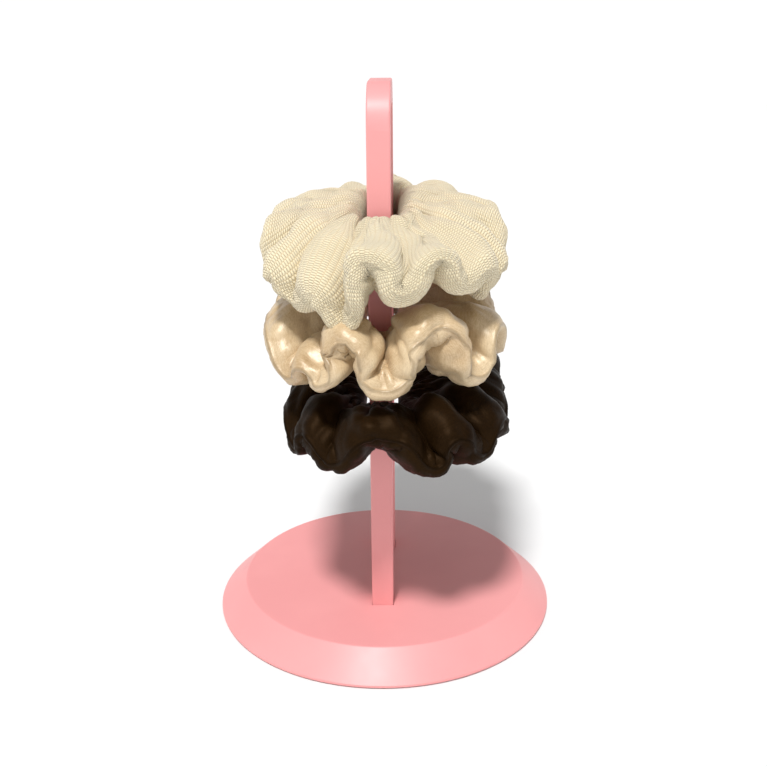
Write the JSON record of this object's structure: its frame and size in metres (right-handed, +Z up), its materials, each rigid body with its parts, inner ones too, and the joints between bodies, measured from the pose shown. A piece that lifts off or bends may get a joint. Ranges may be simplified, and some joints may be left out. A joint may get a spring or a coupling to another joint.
{
  "type": "hair tie holder",
  "caption": "Free-standing countertop hair tie holder: a bevelled round base with an upright hoop that carries gathered fabric hair ties, which slide up and off over its top.",
  "frame": {"origin": "centre of the base on the surface that the rubber feet stand on", "axes": "+Z up along the hoop, -Y towards the front leg and the pictured side, +X to the right seen from the front"},
  "size_m": [0.13, 0.13, 0.2],
  "materials": {
    "pink_plastic": "satin moulded plastic",
    "zinc_steel": "zinc plated",
    "foot_rubber": "matte",
    "cream_knit": "fine ribbed knit",
    "champagne_satin": "satin weave",
    "brown_satin": "satin weave",
    "white_elastic": "braided elastic",
    "black_elastic": "braided elastic"
  },
  "bodies": {
    "stand": {"base": "pink_plastic", "hoop": "pink_plastic", "hoop_screws": "zinc_steel", "rubber_feet": "foot_rubber"},
    "brown_tie": {"brown_cover": "brown_satin", "brown_elastic": "black_elastic"},
    "champagne_tie": {"champagne_cover": "champagne_satin", "champagne_elastic": "white_elastic"},
    "cream_tie": {"cream_cover": "cream_knit", "cream_elastic": "white_elastic"}
  },
  "joints": [
    {"name": "brown_tie_slide", "type": "slide", "parent": "stand", "child": "brown_tie", "axis": [0, 0, 1], "range_m": [-0.059, 0.135]},
    {"name": "champagne_tie_slide", "type": "slide", "parent": "brown_tie", "child": "champagne_tie", "axis": [0, 0, 1], "range_m": [0, 0.106]},
    {"name": "cream_tie_slide", "type": "slide", "parent": "champagne_tie", "child": "cream_tie", "axis": [0, 0, 1], "range_m": [0, 0.078]}
  ]
}
